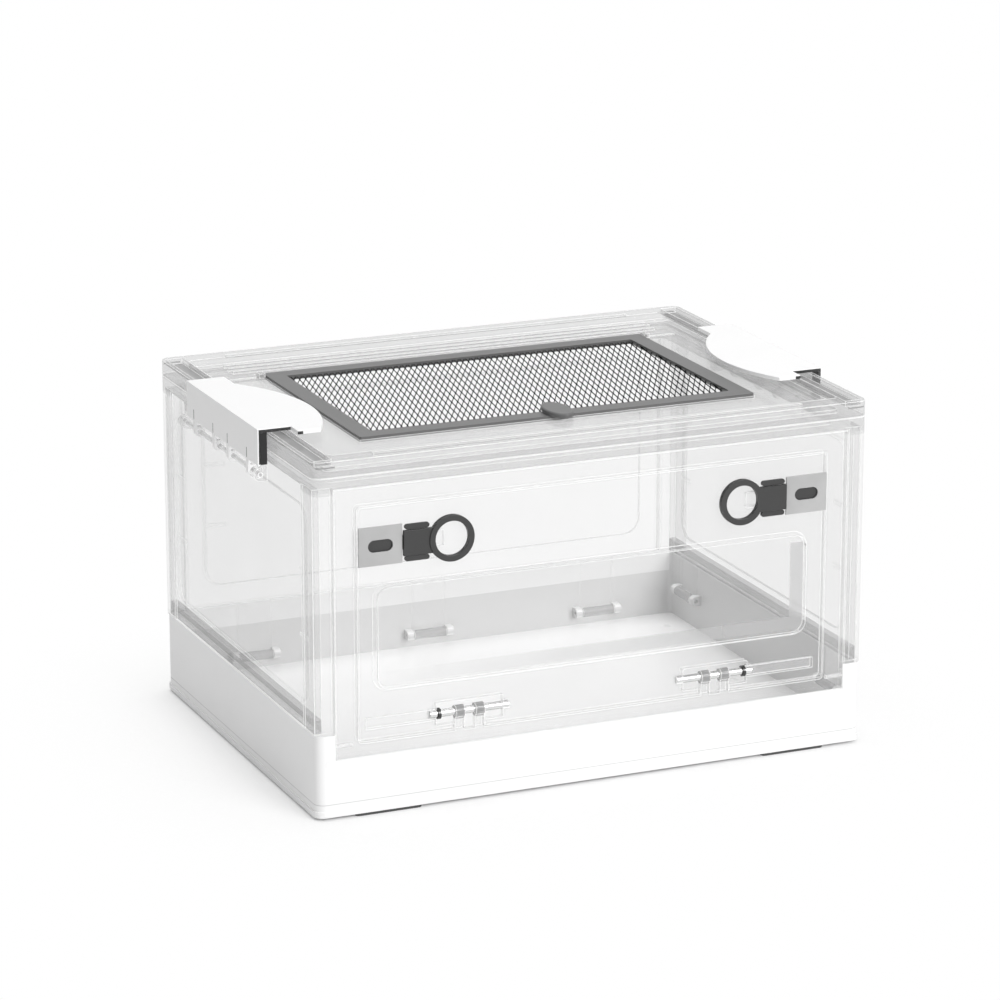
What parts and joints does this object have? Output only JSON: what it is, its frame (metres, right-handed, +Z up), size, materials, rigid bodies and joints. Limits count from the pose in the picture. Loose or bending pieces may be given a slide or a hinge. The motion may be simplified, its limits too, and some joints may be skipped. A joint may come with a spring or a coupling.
{
  "type": "foldable terrarium",
  "caption": "Foldable clear breeding box: white tray, fold-in walls, bottom-hinged front door, clipped lid with mesh door.",
  "frame": {"origin": "centre of the underside, on the surface the box stands on", "axes": "+X along the front from the left clip to the right clip, -Y out of the front door, +Z up"},
  "size_m": [0.4112, 0.2984, 0.243],
  "materials": {
    "white_plastic": "satin white",
    "foot_rubber": "matte",
    "clear_plastic": "clear moulded plastic",
    "clear_rod": "clear rod",
    "pin_metal": "polished steel",
    "latch_cover": "light grey",
    "dark_plastic": "dark grey",
    "mesh_grey": "dark grey",
    "mesh_metal": "black expanded mesh"
  },
  "bodies": {
    "tray": {"base_tray": "white_plastic", "feet": "foot_rubber", "fold_pins": "clear_rod"},
    "rear": {"rear_wall": "clear_plastic", "rear_wall_knuckles": "clear_plastic"},
    "left": {"left_wall": "clear_plastic", "left_wall_knuckles": "clear_plastic"},
    "right": {"right_wall": "clear_plastic", "right_wall_knuckles": "clear_plastic"},
    "front": {"front_frame": "clear_plastic", "left_door_pin": "pin_metal", "right_door_pin": "pin_metal"},
    "door": {"front_door": "clear_plastic", "left_latch_plate": "latch_cover", "right_latch_plate": "latch_cover", "left_latch_guides": "dark_plastic", "right_latch_guides": "dark_plastic"},
    "left_latch": {"left_latch_slider": "dark_plastic"},
    "right_latch": {"right_latch_slider": "dark_plastic"},
    "top": {"top_frame": "clear_plastic", "lid": "clear_plastic", "left_clip_pin": "clear_rod", "right_clip_pin": "clear_rod"},
    "left_side_clip": {"left_clip": "white_plastic"},
    "right_side_clip": {"right_clip": "white_plastic"},
    "mesh_door": {"mesh_door_frame": "mesh_grey", "mesh_sheet": "mesh_metal"},
    "knob": {"mesh_door_knob": "mesh_grey"}
  },
  "joints": [
    {"name": "rear_wall_fold", "type": "hinge", "parent": "tray", "child": "rear", "pos_m": [0, 0.1405, 0.018], "axis": [1, 0, 0], "range_deg": [0, 90]},
    {"name": "front_wall_fold", "type": "hinge", "parent": "tray", "child": "front", "pos_m": [0, -0.144, 0.049], "axis": [-1, 0, 0], "range_deg": [0, 90]},
    {"name": "left_wall_fold", "type": "hinge", "parent": "tray", "child": "left", "pos_m": [-0.1905, 0, 0.031], "axis": [0, 1, 0], "range_deg": [0, 90]},
    {"name": "right_wall_fold", "type": "hinge", "parent": "tray", "child": "right", "pos_m": [0.1905, 0, 0.031], "axis": [0, -1, 0], "range_deg": [0, 90]},
    {"name": "top_lift", "type": "slide", "parent": "tray", "child": "top", "axis": [0, 0, 1], "range_m": [0, 0.17]},
    {"name": "front_door_hinge", "type": "hinge", "parent": "front", "child": "door", "pos_m": [0, -0.14475, 0.062], "axis": [1, 0, 0], "range_deg": [0, 90]},
    {"name": "left_latch_slide", "type": "slide", "parent": "door", "child": "left_latch", "axis": [1, 0, 0], "range_m": [0, 0.008]},
    {"name": "right_latch_slide", "type": "slide", "parent": "door", "child": "right_latch", "axis": [-1, 0, 0], "range_m": [0, 0.008]},
    {"name": "left_clip_hinge", "type": "hinge", "parent": "top", "child": "left_side_clip", "pos_m": [-0.201, 0, 0.211], "axis": [0, -1, 0], "range_deg": [0, 110]},
    {"name": "right_clip_hinge", "type": "hinge", "parent": "top", "child": "right_side_clip", "pos_m": [0.201, 0, 0.211], "axis": [0, 1, 0], "range_deg": [0, 110]},
    {"name": "mesh_door_hinge", "type": "hinge", "parent": "top", "child": "mesh_door", "pos_m": [0, 0.0888, 0.2351], "axis": [-1, 0, 0], "range_deg": [0, 100]},
    {"name": "knob_turn", "type": "hinge", "parent": "mesh_door", "child": "knob", "pos_m": [0, -0.08275, 0.236], "axis": [0, 0, 1], "range_deg": [0, 90]}
  ]
}
